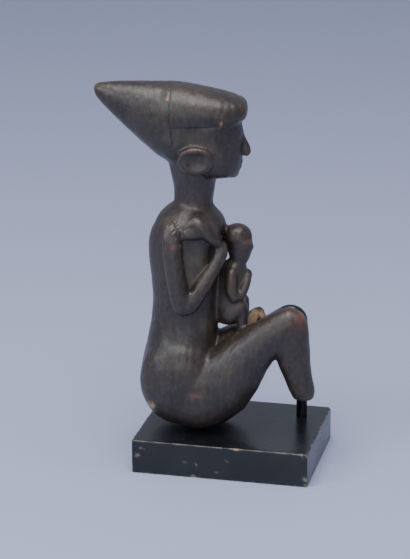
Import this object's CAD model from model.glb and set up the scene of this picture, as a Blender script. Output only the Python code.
import math
import bpy
import bmesh
import numpy as np
from mathutils import Matrix


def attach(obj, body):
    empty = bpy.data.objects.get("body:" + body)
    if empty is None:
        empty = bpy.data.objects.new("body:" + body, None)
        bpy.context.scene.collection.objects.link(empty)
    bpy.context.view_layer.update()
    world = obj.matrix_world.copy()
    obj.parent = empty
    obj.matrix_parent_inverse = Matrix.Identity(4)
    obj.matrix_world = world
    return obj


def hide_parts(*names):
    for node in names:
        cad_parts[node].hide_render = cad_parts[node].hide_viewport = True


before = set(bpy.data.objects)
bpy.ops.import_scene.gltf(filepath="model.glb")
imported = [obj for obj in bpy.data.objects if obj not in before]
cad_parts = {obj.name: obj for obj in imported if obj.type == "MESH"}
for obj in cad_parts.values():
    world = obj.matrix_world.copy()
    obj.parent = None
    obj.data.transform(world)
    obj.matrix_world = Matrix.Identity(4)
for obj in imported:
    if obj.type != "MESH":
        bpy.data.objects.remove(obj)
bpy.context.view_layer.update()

mm = 0.001

# The carver's frame: x across (minus is her right), -y forwards, z up from the seat, in millimetres
seat = {"x": -1.2, "y": 14.0, "z": 16.3, "turn": 9.0}
legSpread = 11.0
childOffset = -1.5

turn = math.radians(seat["turn"])
carverAxes = np.array([[math.cos(turn), -math.sin(turn), 0], [math.sin(turn), math.cos(turn), 0], [0, 0, 1]])
carverOrigin = np.array([seat["x"], seat["y"], seat["z"]])


def toCarver(points):
    return (np.asarray(points) / mm - carverOrigin) @ carverAxes


def toPart(points):
    return (np.asarray(points) @ carverAxes.T + carverOrigin) * mm


# Mesh helpers in numpy
def readMesh(mesh):
    points = np.empty(len(mesh.vertices) * 3)
    mesh.vertices.foreach_get("co", points)
    edges = np.empty(len(mesh.edges) * 2, np.int32)
    mesh.edges.foreach_get("vertices", edges)
    return points.reshape(-1, 3), edges.reshape(-1, 2)


def writePoints(mesh, points):
    mesh.vertices.foreach_set("co", np.ascontiguousarray(points, dtype=np.float32).ravel())
    mesh.update()


def normalsOf(mesh):
    normals = np.empty(len(mesh.vertices) * 3)
    mesh.vertices.foreach_get("normal", normals)
    return normals.reshape(-1, 3)


def smoothShaded(mesh):
    mesh.polygons.foreach_set("use_smooth", [True] * len(mesh.polygons))


def newPiece(name, mesh):
    piece = bpy.data.objects.new(name, mesh)
    bpy.context.scene.collection.objects.link(piece)
    return piece


def afterModifiers(piece):
    # the piece with its modifiers worked into its mesh
    evaluated = piece.evaluated_get(bpy.context.evaluated_depsgraph_get())
    mesh = bpy.data.meshes.new_from_object(evaluated)
    piece.modifiers.clear()
    piece.data = mesh
    return mesh


def neighbourMean(values, edges):
    # the mean of each point's neighbours
    count = len(values)
    total = np.empty_like(values)
    a, b = edges[:, 0], edges[:, 1]
    for column in range(values.shape[1]):
        total[:, column] = np.bincount(a, values[b, column], count) + np.bincount(b, values[a, column], count)
    degree = np.bincount(a, minlength=count) + np.bincount(b, minlength=count)
    return total / np.maximum(degree, 1)[:, None]


def relax(values, edges, strength, turns):
    # softens points or a mask, by the same strength everywhere or by one for each point
    count = len(values)
    values = values.reshape(count, -1).copy()
    strength = np.broadcast_to(np.asarray(strength, float).reshape(-1, 1), (count, 1))
    for _ in range(turns):
        values += strength * (neighbourMean(values, edges) - values)
    return values


def storeMask(mesh, name, mask):
    layer = mesh.attributes.new(name, "FLOAT", "POINT")
    layer.data.foreach_set("value", np.clip(mask, 0, 1).astype(np.float32).ravel())


def ramp(values, low, high):
    t = np.clip((values - low) / (high - low), 0, 1)
    return t * t * (3 - 2 * t)


def waves(points, size, seed, count=24):
    # smooth seeded noise about zero, made of plane waves with wavelengths around size
    random = np.random.default_rng(seed)
    total = np.zeros(len(points))
    for _ in range(count):
        direction = random.normal(size=3)
        direction /= np.linalg.norm(direction)
        length = size * random.uniform(0.7, 1.6)
        total += np.sin(points @ direction * 2 * math.pi / length + random.uniform(0, 2 * math.pi))
    return total / math.sqrt(count / 2)


def toLine(points, line):
    # distance from each point to a polyline
    line = np.asarray(line, float)
    nearest = np.full(len(points), np.inf)
    for start, end in zip(line[:-1], line[1:]):
        way = end - start
        t = np.clip(((points - start) @ way) / (way @ way), 0, 1)
        nearest = np.minimum(nearest, np.linalg.norm(points - start - t[:, None] * way, axis=1))
    return nearest


def near(points, centre, reach):
    # 1 at a centre, falling to 0 at the reach along each axis
    away = (points - np.asarray(centre)) / np.asarray(reach, float)
    return 1 - ramp(np.linalg.norm(away, axis=1), 0.3, 1.0)


def spots(points, entries):
    # A spot has its place and reach along x, y and z. With y and z only it is an oval on her right side.
    total = np.zeros(len(points))
    onRight = points[:, 0] < -3
    for place, reach, strength in entries:
        spot = near(points, place, reach) if len(place) == 3 else near(points[:, 1:], place, reach) * onRight
        total = np.maximum(total, strength * spot)
    return total


def bothSides(x, y, z, reach):
    return [((-x, y, z), reach, 1), ((x, y, z), reach, 1)]


# The carving: the solid's own form, made fine, softened by wear and cut with the last details
carving = {
    "voxel": 0.45,           # mm, size of the fine mesh's faces while it is carved
    "triangles": 190000,     # kept in the end
    "softTurns": 40,         # softening of the broad forms
    "crispTurns": 4,         # softening where there is fine carving
    "hollowTurns": 60,       # softening that hollows and ridges are measured against
    "facetSize": 6.0,        # mm, the worn knife facets
    "toolMarks": 0.05,       # mm, their depth
    "grainSize": 1.6,        # mm, the open grain
    "grainDepth": 0.035,     # mm
    "shoulderWear": 0.45,    # mm, depth of the rough patch on her right shoulder
    "splinters": 0.3,        # mm, roughness of the broken thigh
    "rawEdge": 0.18,         # unevenness of the bare wood's edge
}

# Fine carving that stays crisp: place, reach and strength
fineCarving = [
    ((0, -17, 131), (14, 9, 13), 1),                 # face
    *bothSides(15, 2, 130, (5, 11, 10)),             # ears
    ((0, -14, 147), (20, 12, 6), 1),                 # cap over the brow
    ((0, -6, 144.5), (22, 24, 3), 1),                # edge of its band
    *bothSides(12, -9, 87, (6, 6, 8)),               # hands
    ((childOffset, -17, 88), (11, 10, 13), 1),       # child's head, body and legs
    ((childOffset, -16, 70), (13, 10, 12), 1),
    ((childOffset, -17, 56), (12, 10, 11), 1),
    *bothSides(16, 12.6, 94, (6, 8, 5)),             # shoulder blocks
    *bothSides(11, -4, 92, (10, 11, 8)),             # ledge of the chest
    *bothSides(15, 8, 96, (6, 12, 5)),
    ((legSpread, -27, 46), (13, 10, 13), 1),         # broken thigh
    ((-legSpread, -47, 16), (8, 9, 4), 1),           # broken ankle
]

# Lines cut into both sides: course along y and z, width, depth and darkness
cutLines = [
    ([(13.2, 160.6), (13, 153.8), (13.3, 146.7), (12.6, 144.1), (11.9, 136.5)], 0.3, 0.28, 1),   # crack
    ([(13.1, 144.5), (-0.8, 144.7), (-9.1, 145.3), (-16.5, 147.4)], 0.45, 0.2, 0.6),             # band's edge
]
notches = {"count": 7, "first": -2.4, "spacing": 1.15, "top": 148.4, "bottom": 145.8, "lean": 0.3,
           "width": 0.25, "depth": 0.22, "darkness": 0.5}
scratches = {
    "width": 0.2, "depth": 0.1,
    "courses": [
        [(1, 34), (6, 37)], [(-6, 41), (-1, 38)], [(18, 62), (22, 70)], [(30, 152), (36, 154)],
        [(20, 150), (27, 143)], [(24, 20), (27, 27)],
    ],
}

# Where the wood's finish differs: place, reach and strength
wear = {
    "bareWood": [
        ((-legSpread, -47.3, 14.6), (7, 7, 3.2), 1),      # broken ankle
        ((23.1, 14.3), (3.6, 3.6), 1),                    # buttock
        ((-9.8, 146.4), (0.8, 2), 1),                     # cut in the band
        ((14.2, 157.8), (2, 1.6), 0.6),                   # mark on the cap's crack
        ((-16, 12, 91.2), (4, 5.5, 2.2), 0.75),           # under the shoulder block
    ],
    "rubbed": [
        ((-legSpread, -44, 56), (10, 10, 9), 0.9),        # knee
        ((0, 47.5, 159.5), (4, 4, 4), 1),                 # tip of the cap
        ((-15.5, 3.5, 135.3), (3, 5, 2), 0.8),            # rolled edge of the ear
        ((1.8, 21.1), (5, 2), 0.6),                       # thigh
        ((-21.3, 89.8), (4, 2), 1),                       # child's head
        ((10.4, 90.6), (4, 2), 0.7),                      # upper arm
    ],
    "dusty": [
        ((-13, 2, 80), (6, 12, 14), 1),                   # between arm and chest
        ((-10, 10, 99), (8, 9, 7), 1),                    # upper chest
        ((childOffset, -13, 62), (11, 10, 22), 0.8),      # round the child
        ((-10, -3, 132), (8, 9, 10), 0.7),                # round the ear
        ((-12, 10, 140), (8, 9, 6), 0.6),                 # under the cap
        ((-9, -2, 52), (9, 12, 7), 0.6),                  # lap
    ],
}


def fineCopy():
    # the figure's solid as a fine even mesh
    piece = newPiece("carvedFigure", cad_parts["figure"].data.copy())
    piece.data.materials.clear()
    shell = piece.modifiers.new("fineMesh", "REMESH")
    shell.mode = "VOXEL"
    shell.voxel_size = carving["voxel"] * mm
    shell.use_smooth_shade = True
    afterModifiers(piece)
    return piece


def lineCuts(points):
    # how far each point is cut in, and how dark the cuts are
    flat = points[:, 1:]
    bothFlanks = np.abs(points[:, 0]) > 3
    rightFlank = points[:, 0] < -4
    push = np.zeros(len(points))
    dark = np.zeros(len(points))
    courses = list(cutLines)
    for step in range(notches["count"]):
        y = notches["first"] - notches["spacing"] * step
        course = [(y, notches["top"]), (y - notches["lean"], notches["bottom"])]
        courses.append((course, notches["width"], notches["depth"], notches["darkness"]))
    for course, width, depth, darkness in courses:
        cut = bothFlanks * np.exp(-(toLine(flat, course) / width) ** 2)
        push -= depth * cut
        dark = np.maximum(dark, darkness * cut)
    for course in scratches["courses"]:
        push -= scratches["depth"] * rightFlank * np.exp(-(toLine(flat, course) / scratches["width"]) ** 2)
    return push, dark


def surfaceWear(points, detail):
    # knife facets, open grain, the rough shoulder and the splintered thigh
    facets = np.abs(waves(points * np.array([1, 1, 0.55]), carving["facetSize"], 3)) * 1.2 - 0.8
    push = carving["toolMarks"] * (1 - 0.7 * detail) * facets
    grain = waves(points * np.array([1, 1, 0.08]), carving["grainSize"], 5)
    push -= carving["grainDepth"] * ramp(grain, 0.8, 2.0)
    shoulder = near(points, (-13.5, 9.5, 97.5), (7, 9, 7)) * (points[:, 0] < 0)
    push -= carving["shoulderWear"] * shoulder * ramp(waves(points, 2.6, 11), -0.2, 1.6)
    stump = near(points, (legSpread, -27, 46.5), (12, 9, 12)) * ramp(-points[:, 1], 22, 26)
    push += carving["splinters"] * stump * waves(points * np.array([1, 0.5, 0.5]), 2.2, 13)
    return push


def bareMask(points, normals):
    # bare wood, also on the face of the broken thigh that looks forwards and inwards
    facing = ramp(normals @ np.array([-0.45, -0.8, 0.35]), 0.45, 0.8)
    thigh = near(points, (legSpread - 3, -25.5, 46), (14, 11, 9)) * ramp(points[:, 0], 0, 2.5)
    bare = np.maximum(1.4 * thigh * facing, spots(points, wear["bareWood"]))
    rawEdge = waves(points, 3.0, 21) * carving["rawEdge"]
    return ramp(bare + rawEdge * (bare > 0), 0.35, 0.75)


def thinned(piece, wanted):
    # the same surface with fewer triangles, its masks kept
    build = bmesh.new()
    build.from_mesh(piece.data)
    bmesh.ops.triangulate(build, faces=build.faces)
    build.to_mesh(piece.data)
    build.free()
    share = wanted / len(piece.data.polygons)
    if share < 1:
        fewer = piece.modifiers.new("fewerFaces", "DECIMATE")
        fewer.ratio = share
        afterModifiers(piece)
    smoothShaded(piece.data)


def makeCarving():
    piece = fineCopy()
    fine = piece.data
    raw, edges = readMesh(fine)
    points = toCarver(raw)
    detail = spots(points, fineCarving)
    points = relax(points, edges, 0.5, carving["crispTurns"])
    points = relax(points, edges, 0.5 * (1 - detail), carving["softTurns"])
    writePoints(fine, toPart(points))

    # hollows and ridges, read from how far a softened copy stands off
    normals = normalsOf(fine) @ carverAxes
    softCopy = relax(points, edges, 0.5, carving["hollowTurns"])
    hollow = np.einsum("ij,ij->i", softCopy - points, normals)

    push, dark = lineCuts(points)
    push += surfaceWear(points, detail)
    points = points + normals * push[:, None]
    writePoints(fine, toPart(points))

    storeMask(fine, "hollow", relax(ramp(hollow, 0.05, 0.9), edges, 0.5, 2)[:, 0])
    storeMask(fine, "ridge", relax(ramp(-hollow, 0.10, 0.8), edges, 0.5, 2)[:, 0])
    storeMask(fine, "lines", dark)
    storeMask(fine, "bareWood", bareMask(points, normals))
    storeMask(fine, "rubbed", spots(points, wear["rubbed"]))
    storeMask(fine, "dusty", spots(points, wear["dusty"]))
    thinned(piece, carving["triangles"])
    print("carving:", len(piece.data.vertices), "points,", len(piece.data.polygons), "triangles")
    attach(piece, "root")
    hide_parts("figure")
    return piece


# The support rod, round and smooth on the same path as its solid
supportRod = {
    "diameter": 5.0, "bend": 5.5, "top": 52.0, "slope": 32.0, "foot": (11.0, -45.6),
    "inPlinth": 8.5, "inThigh": 8.5,
    "plinthGap": 0.3,        # mm, from the plinth's top to the carver's zero
    "midHeight": 20.0,       # mm, a ring part way up
    "toStump": 7.0,          # mm, from the end of the bend to the broken thigh
    "sides": 40, "bendSteps": 28,
}


def rodPath():
    bend = supportRod["bend"]
    slope = math.radians(supportRod["slope"])
    x, y = supportRod["foot"]
    bottom = -supportRod["plinthGap"] - supportRod["inPlinth"]
    path = [np.array([x, y, bottom]), np.array([x, y, supportRod["midHeight"]])]
    centre = np.array([x, y + bend, supportRod["top"] - bend])
    steps = supportRod["bendSteps"]
    for step in range(steps + 1):
        angle = math.pi - (math.pi / 2 + slope) * step / steps
        path.append(centre + bend * np.array([0, math.cos(angle), math.sin(angle)]))
    down = np.array([0, math.cos(slope), -math.sin(slope)])
    path.append(path[-1] + down * (supportRod["toStump"] + supportRod["inThigh"]))
    return path


def makeRod():
    path = rodPath()
    radius = supportRod["diameter"] / 2
    sides = supportRod["sides"]
    across = np.array([1.0, 0, 0])
    build = bmesh.new()
    rings = []
    for i, corner in enumerate(path):
        along = path[min(i + 1, len(path) - 1)] - path[max(i - 1, 0)]
        up = np.cross(along / np.linalg.norm(along), across)
        ring = []
        for k in range(sides):
            a = 2 * math.pi * k / sides
            ring.append(build.verts.new(toPart(corner + radius * (across * math.cos(a) + up * math.sin(a)))))
        rings.append(ring)
    for first, second in zip(rings[:-1], rings[1:]):
        for k in range(sides):
            following = (k + 1) % sides
            build.faces.new((first[k], first[following], second[following], second[k]))
    build.faces.new(rings[0])
    build.faces.new(rings[-1][::-1])
    bmesh.ops.recalc_face_normals(build, faces=build.faces)
    mesh = bpy.data.meshes.new("supportRod")
    build.to_mesh(mesh)
    build.free()
    mesh.polygons.foreach_set("use_smooth", [len(face.vertices) == 4 for face in mesh.polygons])
    piece = newPiece("steelRod", mesh)
    print("rod:", len(mesh.polygons), "faces")
    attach(piece, "root")
    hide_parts("support_rod")
    return piece


# The plinth, a fine grid block with soft worn edges and chips
block = {
    "length": 82.0, "width": 60.0, "height": 16.0,
    "cell": 0.62,            # mm, size of its faces
    "edge": 0.55,            # mm, radius of its worn edges
    "edgeSpread": 0.6,       # share by which the radius grows where the wear is strong
    "chips": 0.35,           # mm, depth of chips
    "chipBand": 1.5,         # mm, how far in from a face a chip still bites
    "warp": 0.05,            # mm, unevenness of the flat faces
    # place of each chip from the block's centre, and its reach along each axis
    "chipPlaces": [
        ((-30, -41, 8), (2.6, 4, 3)), ((-30, -41, -5), (3, 3, 4)), ((-30, 36, 4), (1.2, 1.8, 1.4)),
        ((-30, 39, 1), (1.2, 2.6, 1.4)), ((-30, 16, -1), (1.2, 1.6, 1.2)), ((-30, 11, -1.6), (1.2, 1.2, 1.2)),
        ((-30, 1, -5), (1.2, 1.4, 1.2)), ((-30, -4, 2), (1.2, 1.2, 1.2)), ((-30, 12, -7.6), (1.4, 2, 1.2)),
        ((-30, -8, 8), (1.4, 3, 1)), ((30, -41, 8), (2, 2, 2)), ((30, 41, 8), (2, 2, 2)),
        ((4, -41, 8), (3, 1.4, 1.4)), ((-14, -41, -7.8), (3, 1.4, 1.4)), ((6, 41, 8), (3, 1.4, 1.4)),
    ],
}


def gridBlock(half, cells):
    # a closed box of small faces about the origin
    build = bmesh.new()
    found = {}

    def corner(key):
        if key not in found:
            found[key] = build.verts.new([(-1 + 2 * key[i] / cells[i]) * half[i] for i in range(3)])
        return found[key]

    for axis in range(3):
        u, v = [i for i in range(3) if i != axis]
        for side in (0, cells[axis]):
            for i in range(cells[u]):
                for j in range(cells[v]):
                    face = []
                    for di, dj in ((0, 0), (1, 0), (1, 1), (0, 1)):
                        key = [0, 0, 0]
                        key[axis], key[u], key[v] = side, i + di, j + dj
                        face.append(corner(tuple(int(k) for k in key)))
                    build.faces.new(face)
    bmesh.ops.recalc_face_normals(build, faces=build.faces)
    mesh = bpy.data.meshes.new("plinthBlock")
    build.to_mesh(mesh)
    build.free()
    return mesh


def makePlinth():
    half = np.array([block["width"] / 2, block["length"] / 2, block["height"] / 2])
    cells = np.maximum(1, np.round(2 * half / block["cell"])).astype(int)
    mesh = gridBlock(half, cells)
    points, _ = readMesh(mesh)

    # round the edges
    radius = block["edge"] * (1 + block["edgeSpread"] * ramp(waves(points, 9, 31), 0.2, 1.8))
    inner = half - radius[:, None]
    core = np.clip(points, -inner, inner)
    away = points - core
    span = np.linalg.norm(away, axis=1)
    rounded = core + away * (radius / np.maximum(span, 1e-9))[:, None]
    onEdge = (np.abs(away) > 1e-6).sum(1) >= 2
    points = np.where(onEdge[:, None], rounded, points)
    toEdge = np.sort(half - np.abs(points), axis=1)[:, 1]

    # bite chips out of them and let the faces warp a little
    chips = np.zeros(len(points))
    for centre, reach in block["chipPlaces"]:
        chips = np.maximum(chips, near(points, centre, reach))
    bitten = chips * ramp(waves(points, 2.4, 33), -0.5, 1.0)
    inBand = np.abs(points) > half - block["chipBand"]
    points = points - np.sign(points) * (block["chips"] * bitten)[:, None] * inBand
    warp = block["warp"] * waves(points, 26, 35)[:, None] * (np.abs(points) > half - 0.01)
    points = points - np.abs(warp) * np.sign(points)
    smoothShaded(mesh)
    edgeWear = (1 - ramp(toEdge, 0.15, 0.75)) * ramp(waves(points, 6, 37), -1.2, 0.6)
    storeMask(mesh, "edgeWear", edgeWear)
    storeMask(mesh, "chipped", bitten)
    points[:, 2] += half[2]
    writePoints(mesh, points * mm)
    piece = newPiece("plinthBlock", mesh)
    print("plinth:", len(mesh.polygons) * 2, "triangles")
    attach(piece, "root")
    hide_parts("plinth")
    return piece


# Node helpers
def addNode(tree, kind, values=None, links=None, **settings):
    node = tree.nodes.new(kind)
    for name, value in settings.items():
        setattr(node, name, value)
    for socket, value in (values or {}).items():
        node.inputs[socket].default_value = value
    for socket, source in (links or {}).items():
        tree.links.new(source, node.inputs[socket])
    return node


def newGroup(name, inputs):
    # a node group with number inputs that puts out one mask
    group = bpy.data.node_groups.new(name, "ShaderNodeTree")
    for label, value in inputs.items():
        socket = group.interface.new_socket(name=label, in_out="INPUT", socket_type="NodeSocketFloat")
        socket.default_value = value
    group.interface.new_socket(name="Mask", in_out="OUTPUT", socket_type="NodeSocketFloat")
    return group, group.nodes.new("NodeGroupInput"), group.nodes.new("NodeGroupOutput")


def useGroup(tree, group, values):
    return addNode(tree, "ShaderNodeGroup", values, node_tree=group).outputs["Mask"]


def flecksGroup():
    # scattered flecks: paint chips, pale specks, pits
    group, given, result = newGroup("flecks", {"Size": 400.0, "Amount": 0.2, "Softness": 0.05})
    place = addNode(group, "ShaderNodeTexCoord")
    noise = addNode(group, "ShaderNodeTexNoise", {"Detail": 3.0, "Roughness": 0.6},
                    {"Vector": place.outputs["Object"], "Scale": given.outputs["Size"]})
    low = addNode(group, "ShaderNodeMath", {0: 0.78}, {1: given.outputs["Amount"]}, operation="SUBTRACT")
    high = addNode(group, "ShaderNodeMath", None, {0: low.outputs[0], 1: given.outputs["Softness"]},
                   operation="ADD")
    mask = addNode(group, "ShaderNodeMapRange", None,
                   {"Value": noise.outputs["Fac"], "From Min": low.outputs[0], "From Max": high.outputs[0]})
    group.links.new(mask.outputs["Result"], result.inputs["Mask"])
    return group


def patchesGroup():
    # broad uneven patches: patina, dust, polish
    group, given, result = newGroup("patches", {"Size": 60.0, "Stretch": 1.0, "Low": 0.35, "High": 0.65})
    place = addNode(group, "ShaderNodeTexCoord")
    scale = addNode(group, "ShaderNodeCombineXYZ", {"X": 1.0, "Y": 1.0}, {"Z": given.outputs["Stretch"]})
    stretched = addNode(group, "ShaderNodeMapping", None,
                        {"Vector": place.outputs["Object"], "Scale": scale.outputs[0]})
    noise = addNode(group, "ShaderNodeTexNoise", {"Detail": 6.0, "Roughness": 0.62},
                    {"Vector": stretched.outputs[0], "Scale": given.outputs["Size"]})
    limits = {"From Min": given.outputs["Low"], "From Max": given.outputs["High"]}
    mask = addNode(group, "ShaderNodeMapRange", None, {"Value": noise.outputs["Fac"], **limits})
    group.links.new(mask.outputs["Result"], result.inputs["Mask"])
    return group


def mixColour(tree, mask, first, second):
    node = addNode(tree, "ShaderNodeMix", data_type="RGBA")
    tree.links.new(mask, node.inputs["Factor"])
    for index, colour in ((6, first), (7, second)):        # the mix node's two colour sockets
        if hasattr(colour, "is_output"):
            tree.links.new(colour, node.inputs[index])
        else:
            node.inputs[index].default_value = (*colour, 1.0)
    return node.outputs[2]


def mathNode(tree, operation, first, second, clamp=False):
    node = addNode(tree, "ShaderNodeMath", operation=operation, use_clamp=clamp)
    for index, value in enumerate((first, second)):
        if hasattr(value, "is_output"):
            tree.links.new(value, node.inputs[index])
        else:
            node.inputs[index].default_value = value
    return node.outputs[0]


def times(tree, mask, amount):
    return mathNode(tree, "MULTIPLY", mask, amount)


def larger(tree, first, second):
    return mathNode(tree, "MAXIMUM", first, second)


def uneven(tree, mask, pattern, swing, least):
    # a mask broken up by a pattern, with the least of it that stays everywhere
    return times(tree, mask, mathNode(tree, "ADD", times(tree, pattern, swing), least))


def attributeOf(tree, name):
    return addNode(tree, "ShaderNodeAttribute", attribute_name=name).outputs["Fac"]


def newMaterial(name):
    material = bpy.data.materials.new(name)
    material.use_nodes = True
    tree = material.node_tree
    return material, tree, tree.nodes["Principled BSDF"]


def applyLook(tree, shader, look, colour, rough, height=None):
    # colour, roughness between the look's two ends, and fine relief
    tree.links.new(colour, shader.inputs["Base Color"])
    low, high = look["roughness"]
    span = addNode(tree, "ShaderNodeMapRange", {"To Min": low, "To Max": high}, {"Value": rough})
    tree.links.new(span.outputs["Result"], shader.inputs["Roughness"])
    if height is not None:
        relief = {"Strength": look["bump"], "Distance": look["bumpDepth"]}
        bump = addNode(tree, "ShaderNodeBump", relief, {"Height": height})
        tree.links.new(bump.outputs["Normal"], shader.inputs["Normal"])


flecks = flecksGroup()
patches = patchesGroup()

# Finishes
woodFinish = {
    "dark": (0.010, 0.008, 0.007), "brown": (0.050, 0.035, 0.027), "reddish": (0.17, 0.070, 0.045),
    "olive": (0.098, 0.084, 0.055), "bare": (0.46, 0.24, 0.11), "pale": (0.40, 0.31, 0.22),
    "crack": (0.004, 0.003, 0.003),
    "roughness": (0.34, 0.64), "bump": 0.3, "bumpDepth": 0.00025, "specular": 0.55,
    "tone": {"Size": 70.0, "Stretch": 0.35, "Low": 0.36, "High": 0.68},
    "grain": {"Size": 900.0, "Stretch": 0.06, "Low": 0.35, "High": 0.75},
    "blotch": {"Size": 240.0, "Stretch": 0.7, "Low": 0.40, "High": 0.66},
    "mottle": {"Size": 520.0, "Stretch": 0.8, "Low": 0.46, "High": 0.66},
    "specks": {"Size": 1300.0, "Amount": 0.115, "Softness": 0.04},
    # how much each one shows
    "share": {"tone": 0.6, "grain": 0.45, "mottle": 0.2, "dusty": 0.75, "hollow": 0.65, "ridge": 0.5,
              "specks": 0.16, "sheen": 0.35},
}


def woodMaterial():
    material, tree, shader = newMaterial("oldCarvedWood")
    look = woodFinish
    share = look["share"]
    tone = useGroup(tree, patches, look["tone"])
    grain = useGroup(tree, patches, look["grain"])
    blotch = useGroup(tree, patches, look["blotch"])
    mottle = useGroup(tree, patches, look["mottle"])
    specks = useGroup(tree, flecks, look["specks"])
    colour = mixColour(tree, times(tree, tone, share["tone"]), look["dark"], look["brown"])
    colour = mixColour(tree, times(tree, grain, share["grain"]), colour, look["brown"])
    colour = mixColour(tree, times(tree, mottle, share["mottle"]), colour, look["olive"])
    dust = times(tree, attributeOf(tree, "dusty"), share["dusty"])
    dust = larger(tree, dust, times(tree, attributeOf(tree, "hollow"), share["hollow"]))
    dust = uneven(tree, dust, blotch, 0.7, 0.3)
    colour = mixColour(tree, dust, colour, look["olive"])
    rub = larger(tree, attributeOf(tree, "rubbed"), times(tree, attributeOf(tree, "ridge"), share["ridge"]))
    colour = mixColour(tree, uneven(tree, rub, blotch, 0.8, 0.1), colour, look["reddish"])
    bare = attributeOf(tree, "bareWood")
    streaks = mixColour(tree, grain, look["bare"], look["pale"])
    colour = mixColour(tree, uneven(tree, bare, blotch, 0.6, 0.4), colour, streaks)
    colour = mixColour(tree, times(tree, specks, share["specks"]), colour, look["pale"])
    colour = mixColour(tree, attributeOf(tree, "lines"), colour, look["crack"])
    rough = larger(tree, larger(tree, dust, bare), times(tree, blotch, share["sheen"]))
    height = mathNode(tree, "ADD", times(tree, grain, 0.7), times(tree, mottle, 0.5))
    applyLook(tree, shader, look, colour, rough, height)
    shader.inputs["Specular IOR Level"].default_value = look["specular"]
    return material


paintFinish = {
    "paint": (0.006, 0.007, 0.008), "thin": (0.013, 0.014, 0.016), "wood": (0.24, 0.20, 0.16),
    "scratch": (0.16, 0.17, 0.17),
    "roughness": (0.22, 0.42), "bump": 0.12, "bumpDepth": 0.0002,
    "tone": {"Size": 45.0, "Low": 0.35, "High": 0.7},
    "brush": {"Size": 420.0, "Stretch": 0.5, "Low": 0.35, "High": 0.7},
    "spots": {"Size": 520.0, "Amount": 0.055, "Softness": 0.02},
    "share": {"spots": 0.55, "edge": 0.6, "chipped": 0.8, "sheen": 0.4},
}


def paintMaterial():
    material, tree, shader = newMaterial("satinBlackPaint")
    look = paintFinish
    share = look["share"]
    tone = useGroup(tree, patches, look["tone"])
    brush = useGroup(tree, patches, look["brush"])
    scratched = useGroup(tree, flecks, look["spots"])
    colour = mixColour(tree, tone, look["paint"], look["thin"])
    colour = mixColour(tree, times(tree, scratched, share["spots"]), colour, look["scratch"])
    broken = mathNode(tree, "ADD", brush, 0.35)
    edge = mathNode(tree, "MULTIPLY", attributeOf(tree, "edgeWear"), broken, clamp=True)
    colour = mixColour(tree, times(tree, edge, share["edge"]), colour, look["wood"])
    chipped = attributeOf(tree, "chipped")
    colour = mixColour(tree, times(tree, chipped, share["chipped"]), colour, look["wood"])
    rough = larger(tree, larger(tree, edge, chipped), times(tree, tone, share["sheen"]))
    applyLook(tree, shader, look, colour, rough, brush)
    return material


steelFinish = {
    "black": (0.010, 0.011, 0.013), "worn": (0.05, 0.052, 0.058), "roughness": (0.16, 0.34), "metallic": 0.25,
    "tone": {"Size": 160.0, "Stretch": 0.4, "Low": 0.4, "High": 0.75},
}


def steelMaterial():
    material, tree, shader = newMaterial("blackenedSteel")
    look = steelFinish
    tone = useGroup(tree, patches, look["tone"])
    applyLook(tree, shader, look, mixColour(tree, tone, look["black"], look["worn"]), tone)
    shader.inputs["Metallic"].default_value = look["metallic"]
    return material


# Floor, light and camera
studio = {
    "floor": (0.37, 0.41, 0.56), "floorRoughness": 0.75, "floorReach": 6.0,
    "floorTone": {"Size": 3.0, "Low": 0.2, "High": 0.9}, "floorLift": 1.05,
    "sky": (0.60, 0.63, 0.80), "skyStrength": 0.69,
    "aim": (0, 0, 0.09),     # where the lamps point, in metres
    "lamps": {
        # name: place in metres, size in metres, watts, colour
        "overhead": ((-0.25, 0.0, 0.95), 0.8, 9.5, (1.0, 0.985, 0.96)),
        "windowSide": ((-0.75, 0.75, 0.65), 0.6, 5.0, (0.84, 0.91, 1.0)),
        "cameraSide": ((-0.95, -0.1, 0.4), 0.6, 1.8, (0.97, 0.98, 1.0)),
    },
}


def standing(right, up, back, place):
    # the matrix of a lamp or camera with these axes
    return Matrix([[right[i], up[i], back[i], place[i]] for i in range(3)] + [[0, 0, 0, 1]])


def makeFloor():
    reach = studio["floorReach"]
    corners = [(-reach, -reach, 0), (reach, -reach, 0), (reach, reach, 0), (-reach, reach, 0)]
    mesh = bpy.data.meshes.new("floor")
    mesh.from_pydata(corners, [], [(0, 1, 2, 3)])
    floor = newPiece("floor", mesh)
    material, tree, shader = newMaterial("paleFloor")
    base = studio["floor"]
    lifted = tuple(channel * studio["floorLift"] for channel in base)
    tone = useGroup(tree, patches, studio["floorTone"])
    tree.links.new(mixColour(tree, tone, base, lifted), shader.inputs["Base Color"])
    shader.inputs["Roughness"].default_value = studio["floorRoughness"]
    mesh.materials.append(material)


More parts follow.
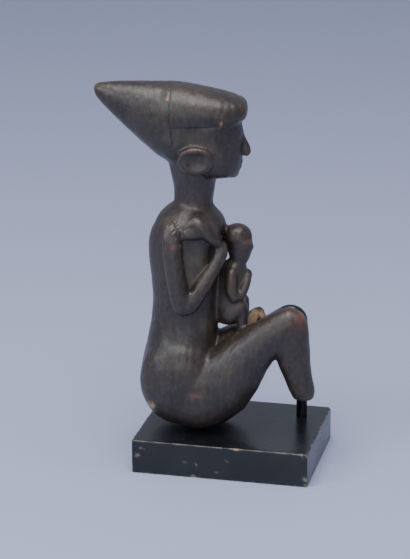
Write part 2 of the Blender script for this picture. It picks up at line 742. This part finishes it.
def makeStudio():
    makeFloor()
    world = bpy.data.worlds.new("softStudio")
    world.use_nodes = True
    sky = world.node_tree.nodes["Background"]
    sky.inputs["Color"].default_value = (*studio["sky"], 1.0)
    sky.inputs["Strength"].default_value = studio["skyStrength"]
    bpy.context.scene.world = world
    for name, (place, size, watts, colour) in studio["lamps"].items():
        lamp = bpy.data.lights.new(name, "AREA")
        lamp.shape = "DISK"
        lamp.size = size
        lamp.energy = watts
        lamp.color = colour
        back = np.array(place) - np.array(studio["aim"])
        back = back / np.linalg.norm(back)
        right = np.cross([0, 0, 1], back)
        right = right / np.linalg.norm(right)
        newPiece(name, lamp).matrix_world = standing(right, np.cross(back, right), back, place)
    print("studio: floor, sky and", len(studio["lamps"]), "lamps")


# The photo's own angle: degrees, metres, and the focal length as pixels of the photo's height
view = {"azimuth": -76.7, "elevation": 18.65, "roll": -0.35, "distance": 1.1, "aside": -0.0131, "lift": 0.0821,
        "focalPixels": 2350.0, "imageHeight": 559.0, "sensor": 36.0, "nearest": 0.05}


def makeCamera():
    azimuth = math.radians(view["azimuth"])
    elevation = math.radians(view["elevation"])
    roll = math.radians(view["roll"])
    level = np.array([math.sin(azimuth), -math.cos(azimuth), 0.0])
    back = level * math.cos(elevation) + np.array([0, 0, math.sin(elevation)])
    right = np.array([math.cos(azimuth), math.sin(azimuth), 0.0])
    up = np.cross(back, right)
    right, up = right * math.cos(roll) + up * math.sin(roll), up * math.cos(roll) - right * math.sin(roll)
    place = back * view["distance"] + right * view["aside"] + up * view["lift"]
    lens = bpy.data.cameras.new("photoView")
    lens.sensor_width = view["sensor"]
    lens.lens = view["focalPixels"] / view["imageHeight"] * view["sensor"]
    lens.clip_start = view["nearest"]
    camera = newPiece("photoView", lens)
    camera.matrix_world = standing(right, up, back, place)
    bpy.context.scene.camera = camera
    print("camera: lens", round(lens.lens, 1))


makeCamera()
makeStudio()
for make, finish in ((makeCarving, woodMaterial), (makeRod, steelMaterial), (makePlinth, paintMaterial)):
    make().data.materials.append(finish())
print("finishes applied")
